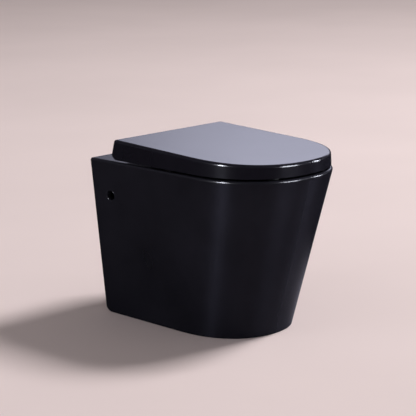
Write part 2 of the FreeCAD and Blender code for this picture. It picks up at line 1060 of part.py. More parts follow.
def make_axle(name, side, depth, faces_out):
    """A shaft or pin from inside a hinge block through the knuckle beside it."""
    length = depth - s.pin_end_gap + s.knuckle_gap + s.knuckle_width
    if faces_out:
        start = hinge_end - depth + s.pin_end_gap
    else:
        start = hinge_inner + depth - s.pin_end_gap - length
    return along_x(name, s.pin_radius, start, length, side)


def make_hinge_base(side, name):
    """A plate on the deck with a grooved post that the hinge block drops over."""
    x = hinge_x * side
    bottom = rim + s.pad_thick
    plate = fillet(
        f"base_plate_{name}",
        box(
            f"base_block_{name}",
            (x - s.base_width / 2, post_y - s.base_length / 2, bottom),
            (x + s.base_width / 2, post_y + s.base_length / 2, foot_bottom),
        ),
        (s.base_round, lambda b: b.XLength < NEAR and b.YLength < NEAR),
    )
    post = cylinder(
        f"post_{name}", s.post_radius, s.post_height + s.base_thick, (x, post_y, bottom)
    )
    groove = cut(
        f"groove_{name}",
        cylinder(
            f"groove_outside_{name}",
            s.post_radius + BEYOND,
            s.latch_thick + s.latch_fit * 2,
            (x, post_y, latch_bottom - s.latch_fit),
        ),
        cylinder(
            f"groove_core_{name}",
            s.post_radius - s.groove_depth,
            s.latch_thick + s.latch_fit * 2 + BEYOND,
            (x, post_y, latch_bottom - s.latch_fit - BEYOND / 2),
        ),
    )
    bolt_hole = cylinder(
        f"base_bolt_hole_{name}", s.bolt / 2 + s.bolt_fit, s.post_height + BEYOND * 3,
        (x, post_y, bottom - BEYOND),
    )
    head_recess = cylinder(
        f"head_recess_{name}",
        s.bolt_head / 2 + s.bolt_fit,
        s.bolt_head_thick + BEYOND,
        (x, post_y, foot_bottom + s.post_height - s.bolt_head_thick),
    )
    return cut(f"base_{name}", fuse(f"base_form_{name}", plate, post), groove, bolt_hole, head_recess)


def make_hinge_pad(side, name):
    """The soft washer plate between the base and the glaze."""
    x = hinge_x * side
    sheet_form = fillet(
        f"pad_sheet_{name}",
        box(
            f"pad_block_{name}",
            (x - s.base_width / 2, post_y - s.base_length / 2, rim),
            (x + s.base_width / 2, post_y + s.base_length / 2, rim + s.pad_thick),
        ),
        (s.base_round, lambda b: b.XLength < NEAR and b.YLength < NEAR),
    )
    hole = cylinder(
        f"pad_hole_{name}", s.bolt / 2 + s.bolt_fit, s.pad_thick + BEYOND * 2,
        (x, post_y, rim - BEYOND),
    )
    return cut(f"pad_{name}", sheet_form, hole)


def hexagon(name, width, height, at):
    """A hexagonal bar, width across its flats."""
    made = doc.addObject("Part::Prism", name)
    made.Polygon = 6
    bind(made, "Circumradius", width / fixed(3).root())
    bind(made, "Height", height)
    bind_place(made, at)
    return made


def make_hinge_bolt(side, name):
    x = hinge_x * side
    head_bottom = foot_bottom + s.post_height - s.bolt_head_thick
    shank = cylinder(
        f"bolt_shank_{name}", s.bolt / 2, s.bolt_length, (x, post_y, head_bottom - s.bolt_length)
    )
    head = cylinder(f"bolt_head_{name}", s.bolt_head / 2, s.bolt_head_thick, (x, post_y, head_bottom))
    socket = hexagon(
        f"bolt_socket_{name}",
        s.bolt_hex,
        s.bolt_hex_depth + BEYOND,
        (x, post_y, head_bottom + s.bolt_head_thick - s.bolt_hex_depth),
    )
    return cut(f"bolt_{name}", fuse(f"bolt_form_{name}", shank, head), socket)


flare_top = rim - s.rim_plate - s.sleeve_top_gap
sleeve_bottom = flare_top - s.sleeve_flare_length


def make_sleeve(side, name):
    """The rubber sleeve that swells under the deck when the bolt is tightened."""
    x = hinge_x * side
    tube = cylinder(
        f"sleeve_tube_{name}",
        s.sleeve_outside / 2,
        rim - s.sleeve_top_gap - sleeve_bottom,
        (x, post_y, sleeve_bottom),
    )
    flare = cylinder(
        f"sleeve_flare_{name}", s.sleeve_flare / 2, s.sleeve_flare_length, (x, post_y, sleeve_bottom)
    )
    hole = cylinder(
        f"sleeve_hole_{name}",
        s.bolt / 2 + s.bolt_fit,
        rim - sleeve_bottom + BEYOND,
        (x, post_y, sleeve_bottom - BEYOND),
    )
    return cut(f"sleeve_{name}", fuse(f"sleeve_form_{name}", tube, flare), hole)


def make_hinge_nut(side, name):
    """The flanged nut that pulls the sleeve up."""
    x = hinge_x * side
    flange_bottom = sleeve_bottom - s.nut_flange_thick
    flange = cylinder(
        f"nut_flange_{name}", s.nut_flange / 2, s.nut_flange_thick, (x, post_y, flange_bottom)
    )
    head = hexagon(f"nut_hex_{name}", s.nut_hex, s.nut_thick, (x, post_y, flange_bottom - s.nut_thick))
    hole = cylinder(
        f"nut_hole_{name}",
        s.bolt / 2 + s.bolt_fit,
        s.nut_thick + s.nut_flange_thick + BEYOND * 2,
        (x, post_y, flange_bottom - s.nut_thick - BEYOND),
    )
    return cut(f"nut_{name}", fuse(f"nut_form_{name}", flange, head), hole)


def make_release_button(side, name):
    """A push pad on a sliding latch plate, whose hole bites into the groove of the post."""
    x = hinge_x * side
    pad_front = foot_front - s.button_proud
    pad = fillet(
        f"button_pad_{name}",
        box(
            f"button_block_{name}",
            (x - s.button_width / 2, pad_front, button_bottom),
            (x + s.button_width / 2, pad_front + s.button_thick, button_top),
        ),
        (s.button_round, lambda b: b.YLength > NEAR and b.XLength < NEAR and b.ZLength < NEAR),
    )
    plate = box(
        f"latch_plate_{name}",
        (x - s.latch_width / 2, pad_front + s.button_thick / 2, latch_bottom),
        (x + s.latch_width / 2, latch_rear, latch_top),
    )
    hole_radius = s.post_radius + s.latch_fit
    bite = s.latch_bite + s.latch_fit
    holes = [
        cylinder(
            f"latch_hole_{end}_{name}",
            hole_radius,
            s.latch_thick + BEYOND * 2,
            (x, post_y - shift, latch_bottom - BEYOND),
        )
        for end, shift in (("rear", bite), ("front", bite + s.button_travel))
    ]
    return cut(f"button_{name}", fuse(f"button_form_{name}", pad, plate), *holes)


# ---------------------------------------------------------------- seat ring

ring_bottom = rim + s.ring_gap
ring_top = ring_bottom + s.ring_thick
ring_half_width = lid_half_width - s.lid_draft - s.lid_wall - s.ring_clearance
ring_front = lid_front - s.lid_draft - s.lid_wall - s.ring_clearance
ring_hole_front = ring_front - s.ring_front_width
ring_hole_widest = (s.ring_hole_from_wall + ring_hole_front) / 2
notch_front = foot_front - s.button_proud - s.notch_front_clearance


def ring_plan(name, inset, bottom, height):
    """The ring's outside in plan, moved in by inset, as a slab."""
    line_name = f"{name}_line"
    outline = d_outline(
        line_name,
        bottom,
        ring_half_width - inset,
        from_wall(s.ring_from_wall + inset),
        from_wall(ring_front - inset),
        s.lid_nose - s.lid_wall - s.ring_clearance - inset,
    )
    return extrude(name, outline, height, (0, 0, 1))


def ring_hole(name, grow, bottom, height):
    """The seat opening, widened by grow, as a slab."""
    outline = egg_outline(
        f"{name}_line",
        bottom,
        s.ring_hole_width / 2 + grow,
        from_wall(s.ring_hole_from_wall - grow),
        from_wall(ring_hole_widest),
        from_wall(ring_hole_front + grow),
        s.bowl_fullness,
    )
    return extrude(name, outline, height, (0, 0, 1))


def make_ring():
    slab = cut(
        "ring_slab",
        ring_plan("ring_plan", ZERO, ring_bottom, s.ring_thick),
        ring_hole("ring_hole", ZERO, ring_bottom - BEYOND, s.ring_thick + BEYOND * 2),
    )
    rounded = fillet("ring_rounded", slab, (s.ring_round, flat_at(ring_top)))
    hollow_height = s.ring_thick - s.ring_shell + BEYOND
    channel = common(
        "ring_channel",
        cut(
            "ring_channel_form",
            ring_plan("channel_plan", s.ring_shell, ring_bottom - BEYOND, hollow_height),
            ring_hole(
                "channel_core", s.ring_shell, ring_bottom - BEYOND * 2, hollow_height + BEYOND * 2
            ),
        ),
        box(
            "channel_reach",
            (-s.pan_width / 2, -wall, ring_bottom - BEYOND),
            (s.pan_width / 2, from_wall(s.ring_bridge_from_wall), ring_top),
        ),
    )
    ribs = []
    for number in range(int(s.ring_ribs)):
        rear_face = s.ring_rib_from_wall + s.ring_rib_spacing * number
        ribs.append(
            box(
                f"ring_rib_{number}",
                (
                    -s.pan_width / 2,
                    from_wall(rear_face + s.ring_rib),
                    ring_bottom + s.ring_rib_recess,
                ),
                (s.pan_width / 2, from_wall(rear_face), ring_top),
            )
        )
    notches = [
        box(
            f"ring_notch_{name}",
            (
                hinge_x * side - s.hinge_width / 2 - s.knuckle_gap,
                notch_front,
                ring_bottom - BEYOND,
            ),
            (
                hinge_x * side + s.hinge_width / 2 + s.knuckle_gap,
                from_wall(s.ring_from_wall - BEYOND),
                ring_top + BEYOND,
            ),
        )
        for side, name in SIDES
    ]
    shell = cut("ring_shell", rounded, cut("ribbed_channel", channel, *ribs), *notches)
    knuckles = [
        knuckle(
            f"ring_knuckle_{name}",
            side,
            ring_knuckle_start,
            [
                (from_wall(s.ring_from_wall + s.ring_round * 2), ring_bottom),
                (axis_y, axis_z - s.knuckle_radius),
                (axis_y, axis_z + s.knuckle_radius),
                (from_wall(s.ring_from_wall + s.ring_round * 2), ring_top),
            ],
        )
        for side, name in SIDES
    ]
    return cut("ring_moulding", fuse("ring_body", shell, *knuckles), *knuckle_bores("ring"))


def make_ring_buffer(number, x, y):
    """A rubber foot: a pad that meets the rim and a stem that plugs into the ring's hollow."""
    pad = fillet(
        f"buffer_pad_{number}",
        box(
            f"buffer_block_{number}",
            (x - s.ring_buffer_width / 2, y - s.ring_buffer_length / 2, rim),
            (x + s.ring_buffer_width / 2, y + s.ring_buffer_length / 2, ring_bottom),
        ),
        (s.ring_buffer_round, lambda b: b.XLength < NEAR and b.YLength < NEAR),
    )
    stem = cylinder(
        f"buffer_stem_{number}",
        s.buffer_stem / 2,
        ring_top - s.ring_shell - ring_bottom,
        (x, y, ring_bottom),
    )
    return fuse(f"ring_buffer_{number}", pad, stem)


def make_ring_buffers():
    places = [
        (x * side, from_wall(distance))
        for x, distance in (
            (ring_half_width - s.rear_buffer_from_side, s.rear_buffer_from_wall),
            (s.front_buffer_spacing / 2, ring_front - s.front_buffer_from_front),
        )
        for side, _ in SIDES
    ]
    return [make_ring_buffer(number, x, y) for number, (x, y) in enumerate(places)]


def make_lid_buffer(side, name):
    """A rubber button under the lid that meets the top of the ring."""
    distance = ring_front - s.lid_buffer_from_front
    roof = lid_top_at(distance + s.lid_buffer_radius) - s.lid_wall
    return cylinder(
        f"lid_buffer_{name}",
        s.lid_buffer_radius,
        roof - ring_top,
        (s.lid_buffer_spacing / 2 * side, from_wall(distance), ring_top),
    )


# ---------------------------------------------------------------- wall fixing

flange_front = s.rear_wall + s.bush_flange_thick


def make_stud_bush(side, name):
    """The plastic bush that centres a wall stud in the rear wall."""
    x = s.stud_spacing / 2 * side
    sleeve = cylinder(
        f"bush_sleeve_{name}",
        s.bush_outside / 2,
        s.rear_wall,
        (x, from_wall(s.rear_wall), s.stud_height),
        "+Y",
    )
    flange = cylinder(
        f"bush_flange_{name}",
        s.bush_flange / 2,
        s.bush_flange_thick,
        (x, from_wall(flange_front), s.stud_height),
        "+Y",
    )
    bore = cylinder(
        f"bush_bore_{name}",
        s.stud_bore / 2,
        flange_front + BEYOND * 2,
        (x, from_wall(flange_front + BEYOND), s.stud_height),
        "+Y",
    )
    return cut(f"stud_bush_{name}", fuse(f"bush_form_{name}", sleeve, flange), bore)


def make_clamp_block(side, name):
    """The block that slides on a wall stud and is locked to it through the side hole."""
    x = s.stud_spacing / 2 * side
    half = s.block_width / 2
    front = from_wall(flange_front + s.block_length)
    form = fillet(
        f"block_form_{name}",
        box(
            f"block_blank_{name}",
            (x - half, front, s.stud_height - half),
            (x + half, from_wall(flange_front), s.stud_height + half),
        ),
        (s.block_chamfer, lambda b: b.YLength > s.block_width),
    )
    bore = cylinder(
        f"block_bore_{name}",
        s.stud_bore / 2,
        s.block_length + BEYOND * 2,
        (x, front - BEYOND, s.stud_height),
        "+Y",
    )
    tapped = cylinder(
        f"clamp_hole_{name}",
        s.clamp_screw / 2 + s.clamp_fit,
        half + BEYOND,
        (x, from_wall(s.clamp_from_wall), s.stud_height),
        "+X" if side > 0 else "-X",
    )
    return cut(f"clamp_block_{name}_cut", form, bore, tapped)


def make_clamp_screw(side, name):
    """The socket screw that a key turns through the side hole of the pan."""
    tip = s.stud_spacing / 2 + s.stud_bore / 2 + s.clamp_fit
    turn = "+X" if side > 0 else "-X"
    y = from_wall(s.clamp_from_wall)
    bar = cylinder(
        f"clamp_bar_{name}",
        s.clamp_screw / 2,
        s.clamp_screw_length,
        (tip * side, y, s.stud_height),
        turn,
    )
    socket = hexagon(
        f"clamp_socket_{name}",
        s.clamp_hex,
        s.clamp_hex_depth + BEYOND,
        ((tip + s.clamp_screw_length - s.clamp_hex_depth) * side, y, s.stud_height),
    )
    socket.Placement.Rotation = TURN[turn]
    return cut(f"clamp_screw_{name}", bar, socket)


# ---------------------------------------------------------------- assembly


def make_groups():
    """Identical small pieces that share one node."""
    makers = {
        "hinge_pads": make_hinge_pad,
        "hinge_bolts": make_hinge_bolt,
        "expansion_sleeves": make_sleeve,
        "hinge_nuts": make_hinge_nut,
        "lid_buffers": make_lid_buffer,
        "stud_bushes": make_stud_bush,
        "clamp_screws": make_clamp_screw,
    }
    for node, maker in makers.items():
        piece(node, group(f"{node}_group", *[maker(side, name) for side, name in SIDES]))
    piece("ring_buffers", group("ring_buffers_group", *make_ring_buffers()))


pan = piece("pan", make_pan())
piece("lid", make_lid())
piece("seat_ring", make_ring())
for side, name in SIDES:
    faces_out = side > 0
    owner = "lid" if faces_out else "seat"
    other = "seat" if faces_out else "lid"
    piece(f"hinge_block_{name}", make_hinge_block(side, name, faces_out))
    piece(f"{owner}_damper", make_damper(side, owner, faces_out))
    piece(f"{owner}_damper_shaft", make_axle(f"{owner}_shaft", side, shaft_depth, faces_out))
    piece(f"{other}_hinge_pin", make_axle(f"{other}_pin", side, s.pin_depth, not faces_out))
    piece(f"hinge_base_{name}", make_hinge_base(side, name))
    piece(f"release_button_{name}", make_release_button(side, name))
    piece(f"clamp_block_{name}", make_clamp_block(side, name))
make_groups()
doc.recompute()
print("pan volume, litres:", round(pan.Shape.Volume / 1e6, 2), "solids:", len(pan.Shape.Solids))

# ---------------------------------------------------------------- export

doc.recompute()
for thing in doc.Objects:
    if "Invalid" in thing.State or "Error" in thing.State:
        raise RuntimeError(f"{thing.Name} is {thing.State}")
os.makedirs("parts", exist_ok=True)
for node, thing in pieces.items():
    shape = thing.Shape
    if shape.isNull() or not shape.isValid():
        raise RuntimeError(f"the shape of {node} is not valid")
    shape.exportStep(f"parts/{node}.step")
    print(node, len(shape.Solids), "solids", round(shape.Volume / 1000, 2), "cm3")
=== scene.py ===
# %% [markdown]
# # A black toilet in a photo studio
# The part comes from the CAD file as a fixed frame: every piece is already in its place, in metres.
# This lesson dresses it: a camera, a pale floor, soft lamps, and a glaze, plastic, steel or rubber
# for each piece. The only shapes that it adds are the thin lips of two key holes.

# %% Load the frame
import json
import math

import bpy
from mathutils import Matrix, Vector


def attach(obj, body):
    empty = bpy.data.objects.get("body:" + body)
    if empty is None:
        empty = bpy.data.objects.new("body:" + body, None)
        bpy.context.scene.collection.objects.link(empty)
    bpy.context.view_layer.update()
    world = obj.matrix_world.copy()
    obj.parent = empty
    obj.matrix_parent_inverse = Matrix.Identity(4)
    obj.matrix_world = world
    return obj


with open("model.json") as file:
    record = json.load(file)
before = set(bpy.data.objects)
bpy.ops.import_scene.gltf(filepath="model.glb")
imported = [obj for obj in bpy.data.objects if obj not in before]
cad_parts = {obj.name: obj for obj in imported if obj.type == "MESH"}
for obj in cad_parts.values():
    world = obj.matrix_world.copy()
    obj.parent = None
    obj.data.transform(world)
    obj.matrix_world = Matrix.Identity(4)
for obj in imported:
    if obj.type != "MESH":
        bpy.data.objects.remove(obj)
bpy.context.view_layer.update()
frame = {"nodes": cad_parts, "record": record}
nodes = frame["nodes"]

# %% [markdown]
# ## The camera
# The picture looks at the left front corner from a little above, through a long lens, so that the
# upright edges stay nearly parallel. The place and the turn could be found by hand, by moving the
# camera until the outline fits. Here they come from measuring where the corners of the pan fall in
# the picture, which is quicker and more exact.

# %% Set up the camera
CAMERA_PLACE = Vector((-2.67933, -2.66289, 1.11165))
LOOK = Vector((0.68534002, 0.69524300, -0.21667078))
UP = Vector((0.16077249, 0.14573924, 0.97617226))
LENS_MM = 142.801
SENSOR_WIDTH_MM = 36

lens = bpy.data.cameras.new("studio_camera")
lens.lens = LENS_MM
lens.sensor_width = SENSOR_WIDTH_MM
camera = bpy.data.objects.new("studio_camera", lens)
bpy.context.scene.collection.objects.link(camera)
turn = Matrix((LOOK.cross(UP), UP, -LOOK)).transposed()
camera.matrix_world = Matrix.Translation(CAMERA_PLACE) @ turn.to_4x4()
bpy.context.scene.camera = camera
print("camera", round(CAMERA_PLACE.length, 2), "m from the middle of the pan's foot")

# %% [markdown]
# ## Small helpers for nodes
# Every finish below is a network of shader nodes. They could be laid out by hand in the shader
# editor. In a script, one helper adds a node, sets its options and either fills in or links each
# of its sockets, so that a network reads as a list.


# %% Node helpers
def add_node(tree, kind, sockets=None, **options):
    """Add a shader node. A socket's value may be another node's output, which is then linked."""
    node = tree.nodes.new(f"ShaderNode{kind}")
    for option, choice in options.items():
        setattr(node, option, choice)
    for label, value in (sockets or {}).items():
        if isinstance(value, bpy.types.NodeSocket):
            tree.links.new(value, node.inputs[label])
        else:
            node.inputs[label].default_value = value
    return node


def start_group(name, inputs, outputs):
    """A new node group, the sockets that it is given and the sockets of its result."""
    group = bpy.data.node_groups.new(name, "ShaderNodeTree")
    for label, kind, value in inputs:
        socket = group.interface.new_socket(
            label, in_out="INPUT", socket_type=f"NodeSocket{kind}"
        )
        socket.default_value = value
    for label, kind in outputs:
        group.interface.new_socket(label, in_out="OUTPUT", socket_type=f"NodeSocket{kind}")
    given = group.nodes.new("NodeGroupInput").outputs
    result = group.nodes.new("NodeGroupOutput").inputs
    return group, given, result


def use_group(tree, group, sockets):
    """Place a node group in a material and fill in its sockets."""
    return add_node(tree, "Group", sockets, node_tree=group)


def start_material(name):
    """A new material, its nodes and its Principled BSDF."""
    material = bpy.data.materials.new(name)
    material.use_nodes = True
    shader = material.node_tree.nodes["Principled BSDF"]
    return material, material.node_tree, shader


print("node helpers ready")

# %% [markdown]
# A few kinds of node come back again and again, each with the same options. These helpers add one
# and hand back the one output that matters. A noise has blobs, and its scale says how many there
# are to a metre. A fade turns a span of values into a number from 0 to 1, cut off at both ends.


# %% Helpers for common nodes
def add_noise(tree, place, scale, detail, roughness=0.5):
    """A soft noise, finer in its parts with more detail."""
    sockets = {"Vector": place, "Scale": scale, "Detail": detail, "Roughness": roughness}
    return add_node(tree, "TexNoise", sockets).outputs["Fac"]


def add_fade(tree, value, span, to=(0, 1), kind="LINEAR"):
    """A number that goes from to[0] to to[1] as the value goes through the span."""
    sockets = {
        "Value": value,
        "From Min": span[0],
        "From Max": span[1],
        "To Min": to[0],
        "To Max": to[1],
    }
    return add_node(tree, "MapRange", sockets, interpolation_type=kind).outputs["Result"]


def add_math(tree, operation, *numbers):
    """The result of one operation on two or three numbers."""
    return add_node(tree, "Math", dict(enumerate(numbers)), operation=operation).outputs[0]


def add_bump(tree, height, distance, below=None):
    """A relief as high as distance in metres, on top of the relief below."""
    sockets = {"Height": height, "Distance": distance, "Strength": 1}
    if below is not None:
        sockets["Normal"] = below
    return add_node(tree, "Bump", sockets).outputs["Normal"]


def add_mix(tree, factor, first, second):
    """Two colours mixed: the first alone at factor 0, the second alone at 1."""
    sockets = {"Factor": factor, "A": first, "B": second}
    return add_node(tree, "Mix", sockets, data_type="RGBA").outputs["Result"]


def add_shader_mix(tree, factor, first, second):
    """Two shaders mixed in the same way."""
    return add_node(tree, "MixShader", {"Fac": factor, 1: first, 2: second}).outputs["Shader"]


print("helpers for common nodes ready")

# %% [markdown]
# ## Effects that several finishes share
# No real surface has one even colour. *Cloudy colour* drifts the shade a little, over a hand's
# width on the large pieces and a finger's width on the small ones, as glaze that ran a bit thicker
# here and thinner there, or plastic that cooled unevenly. It could be painted on, but a noise in
# space runs over every edge without a seam. Most of a noise's values lie in the middle of its
# range, so that part is stretched to the full drift.

# %% Cloudy colour
MOST_OF_A_NOISE = (0.3, 0.7)


def make_cloudy_colour():
    group, given, result = start_group(
        "cloudy_colour",
        [("Color", "Color", (0.5, 0.5, 0.5, 1)), ("Scale", "Float", 12), ("Amount", "Float", 0.2)],
        [("Color", "Color")],
    )
    place = add_node(group, "TexCoord").outputs["Object"]
    clouds = add_noise(group, place, given["Scale"], detail=3)
    darkest = add_math(group, "SUBTRACT", 1, given["Amount"])
    lightest = add_math(group, "ADD", 1, given["Amount"])
    strength = add_fade(group, clouds, MOST_OF_A_NOISE, to=(darkest, lightest))
    scaled = add_node(
        group, "VectorMath", {0: given["Color"], "Scale": strength}, operation="SCALE"
    )
    group.links.new(scaled.outputs["Vector"], result["Color"])
    return group


cloudy_colour = make_cloudy_colour()
print(cloudy_colour.name, "group:", len(cloudy_colour.nodes), "nodes")

# %% [markdown]
# *Waves and peel* is the relief of a coat that flowed: slow waves left by the mould and the firing,
# about 20 cm long on the pan, and on top a fine orange peel, 1 to 2 mm across. Moving the mesh
# itself would need millions of faces for so fine a skin, so two bump nodes in a row add them, each
# with its real height.


# %% Waves and peel
def make_waves_and_peel():
    group, given, result = start_group(
        "waves_and_peel",
        [
            ("Wave Scale", "Float", 9),
            ("Wave Height", "Float", 0.0004),
            ("Peel Scale", "Float", 450),
            ("Peel Height", "Float", 0.00001),
        ],
        [("Normal", "Vector")],
    )
    place = add_node(group, "TexCoord").outputs["Object"]
    waves = add_noise(group, place, given["Wave Scale"], detail=1, roughness=0.3)
    peel = add_noise(group, place, given["Peel Scale"], detail=2)
    slow = add_bump(group, waves, given["Wave Height"])
    fine = add_bump(group, peel, given["Peel Height"], below=slow)
    group.links.new(fine, result["Normal"])
    return group


waves_and_peel = make_waves_and_peel()
print(waves_and_peel.name, "group:", len(waves_and_peel.nodes), "nodes")

# %% [markdown]
# *Settled dust* is a mask for the faces that look up, where fine dust lies in loose patches. It
# could be painted by hand; here the direction of each face finds the places by itself. The
# direction is read before the part moves, so a raised lid keeps its dust on top.

# %% Settled dust
LOOKS_UP = (0.8, 1)
DUST_PATCHES = (0.4, 0.75)


def make_settled_dust():
    group, given, result = start_group(
        "settled_dust", [("Amount", "Float", 0.1), ("Scale", "Float", 60)], [("Dust", "Float")]
    )
    place = add_node(group, "TexCoord").outputs
    facing = add_node(group, "SeparateXYZ", {"Vector": place["Normal"]})
    upward = add_fade(group, facing.outputs["Z"], LOOKS_UP, kind="SMOOTHSTEP")
    specks = add_noise(group, place["Object"], given["Scale"], detail=6, roughness=0.7)
    patches = add_fade(group, specks, DUST_PATCHES)
    lying = add_math(group, "MULTIPLY", upward, patches)
    dust = add_math(group, "MULTIPLY", lying, given["Amount"])
    group.links.new(dust, result["Dust"])
    return group


settled_dust = make_settled_dust()
print(settled_dust.name, "group:", len(settled_dust.nodes), "nodes")

# %% [markdown]
# *Handling marks* changes only the roughness: broad wiped areas and a few thin scuffs where a
# cloth or a hand has passed. The scuffs could be drawn one by one. Stretching a noise with a
# Mapping node turns its blobs into strokes, and keeping only the highest values leaves few of them.

# %% Handling marks
WIPED_AREAS_SCALE = 7
STROKE_TURN = (0.5, 0.3, 0.6)
STROKE_SCALE = (30, 260, 260)
FEW_STROKES = (0.62, 0.72)
MIDDLE_OF_A_NOISE = 0.5


def make_handling_marks():
    group, given, result = start_group(
        "handling_marks",
        [("Roughness", "Float", 0.35), ("Wiped", "Float", 0.05), ("Scuffs", "Float", 0.06)],
        [("Roughness", "Float")],
    )
    place = add_node(group, "TexCoord").outputs["Object"]
    wiped = add_noise(group, place, WIPED_AREAS_SCALE, detail=4)
    strokes = add_node(
        group, "Mapping", {"Vector": place, "Rotation": STROKE_TURN, "Scale": STROKE_SCALE}
    )
    scuffs = add_noise(group, strokes.outputs["Vector"], 1, detail=2)
    thin = add_fade(group, scuffs, FEW_STROKES)
    centred = add_math(group, "SUBTRACT", wiped, MIDDLE_OF_A_NOISE)
    broad = add_math(group, "MULTIPLY_ADD", centred, given["Wiped"], given["Roughness"])
    marked = add_math(group, "MULTIPLY_ADD", thin, given["Scuffs"], broad)
    group.links.new(marked, result["Roughness"])
    return group


handling_marks = make_handling_marks()
print(handling_marks.name, "group:", len(handling_marks.nodes), "nodes")

# %% [markdown]
# *Machined skin* is for the metal pieces: fine lines round the turned bars, as a lathe leaves, and
# small dents from a tumbling barrel. The lines could be cut into the mesh, but they are only about
# 0.3 mm apart and 0.01 mm high, so they are a noise that is squeezed along the axis of the bar.

# %% Machined skin
DENTS_SCALE = 700


def make_machined_skin():
    group, given, result = start_group(
        "machined_skin",
        [
            ("Line Scale", "Vector", (40, 40, 4000)),
            ("Line Height", "Float", 0.00001),
            ("Dent Height", "Float", 0.00002),
        ],
        [("Normal", "Vector")],
    )
    place = add_node(group, "TexCoord").outputs["Object"]
    squeezed = add_node(group, "Mapping", {"Vector": place, "Scale": given["Line Scale"]})
    lines = add_noise(group, squeezed.outputs["Vector"], 1, detail=2)
    dents = add_node(
        group, "TexVoronoi", {"Vector": place, "Scale": DENTS_SCALE, "Randomness": 1}
    )
    lathe = add_bump(group, lines, given["Line Height"])
    barrel = add_bump(group, dents.outputs["Distance"], given["Dent Height"], below=lathe)
    group.links.new(barrel, result["Normal"])
    return group


machined_skin = make_machined_skin()
print(machined_skin.name, "group:", len(machined_skin.nodes), "nodes")

# %% [markdown]
# ## The two kinds of finish
# Glaze and plastics share one recipe: a cloudy colour, dust on top, marks in the roughness, and a
# relief of waves and peel. Each could be a material of its own, but only the numbers differ, so
# one function takes them, named as the groups name them. The specular level is the same all over
# a surface and stays a plain number on the shader.

# %% A coated or moulded finish
DUST_COLOUR = (0.42, 0.4, 0.42, 1)
DUST_SCALE = 70


def make_smooth_finish(name, colour, clouds, dust, marks, relief, specular):
    """A black glaze, a plastic or a rubber."""
    material, tree, shader = start_material(name)
    tone = use_group(tree, cloudy_colour, {"Color": (*colour, 1), **clouds})
    lint = use_group(tree, settled_dust, {"Amount": dust, "Scale": DUST_SCALE})
    dusted = add_mix(tree, lint.outputs["Dust"], tone.outputs["Color"], DUST_COLOUR)
    worn = use_group(tree, handling_marks, marks)
    skin = use_group(tree, waves_and_peel, relief)
    tree.links.new(dusted, shader.inputs["Base Color"])
    tree.links.new(worn.outputs["Roughness"], shader.inputs["Roughness"])
    tree.links.new(skin.outputs["Normal"], shader.inputs["Normal"])
    shader.inputs["Specular IOR Level"].default_value = specular
    print(name, "finish:", len(tree.nodes), "nodes")
    return material


print("recipe for glaze and plastics ready")

# %% [markdown]
# Metal has a metallic shader. A plain one looks like new chrome, so the recipe adds the lathe's
# lines and the dents, and a cloudy bloom on the colour where the surface has aged.

# %% A machined metal finish
METAL_CLOUDS_SCALE = 90
METAL_WIPED = 0.15
METAL_SCUFFS = 0.1


def make_metal_finish(name, colour, bloom, roughness, line_scale):
    """A turned or plated steel. The lines lie close together along the largest line_scale."""
    material, tree, shader = start_material(name)
    tone = use_group(
        tree,
        cloudy_colour,
        {"Color": (*colour, 1), "Scale": METAL_CLOUDS_SCALE, "Amount": bloom},
    )
    skin = use_group(tree, machined_skin, {"Line Scale": line_scale})
    worn = use_group(
        tree,
        handling_marks,
        {"Roughness": roughness, "Wiped": METAL_WIPED, "Scuffs": METAL_SCUFFS},
    )
    tree.links.new(tone.outputs["Color"], shader.inputs["Base Color"])
    tree.links.new(worn.outputs["Roughness"], shader.inputs["Roughness"])
    tree.links.new(skin.outputs["Normal"], shader.inputs["Normal"])
    shader.inputs["Metallic"].default_value = 1
    print(name, "finish:", len(tree.nodes), "nodes")
    return material


print("recipe for metals ready")

# %% [markdown]
# ## The glaze
# The pan is cast in clay and fired with a satin black glaze. Black is hard to light: nearly all
# that shows is reflection. A clear coat over black would mirror every lamp with sharp edges. A
# little roughness and a low specular level give the broad, weak bands of the picture instead.
# There are no scuffs, because a fired glaze is too hard for them.

# %% Black glaze of the pan
finishes = {}
finishes["glaze"] = make_smooth_finish(
    "satin_black_glaze",
    colour=(0.0148, 0.0154, 0.0228),
    clouds={"Scale": 6, "Amount": 0.2},
    dust=0.001,
    marks={"Roughness": 0.2, "Wiped": 0.03, "Scuffs": 0},
    relief={"Wave Scale": 6, "Wave Height": 0.0001, "Peel Scale": 500, "Peel Height": 0.000002},
    specular=0.3,
)

# %% [markdown]
# ## The plastic of lid and seat
# The lid is moulded in a hard black plastic. It could share the glaze, but in the picture it is
# a little smoother and darker, so its top mirrors the room more clearly. The seat ring is of the
# same kind. It is sat on and wiped every day, so it is duller and has more scuffs.

# %% Black plastic of lid and seat
finishes["lid_plastic"] = make_smooth_finish(
    "black_lid_plastic",
    colour=(0.0105, 0.0105, 0.0165),
    clouds={"Scale": 5, "Amount": 0.2},
    dust=0.002,
    marks={"Roughness": 0.16, "Wiped": 0.03, "Scuffs": 0.01},
    relief={"Wave Scale": 5, "Wave Height": 0.0001, "Peel Scale": 900, "Peel Height": 0.000002},
    specular=0.3,
)
finishes["seat_plastic"] = make_smooth_finish(
    "black_seat_plastic",
    colour=(0.0044, 0.0044, 0.0056),
    clouds={"Scale": 8, "Amount": 0.2},
    dust=0.006,
    marks={"Roughness": 0.27, "Wiped": 0.06, "Scuffs": 0.06},
    relief={"Wave Scale": 8, "Wave Height": 0.0003, "Peel Scale": 900, "Peel Height": 0.000006},
    specular=0.3,
)

# %% [markdown]
# ## The plastics of the hinge
# Hinge blocks and release buttons come from moulds whose walls were etched by sparks, which leaves
# a fine dull grain. The usual way is a photographed texture. Here the peel does it: much finer and
# higher than on the glaze, it looks the same from any side. The buttons are a lighter grey, so
# that a finger finds them.

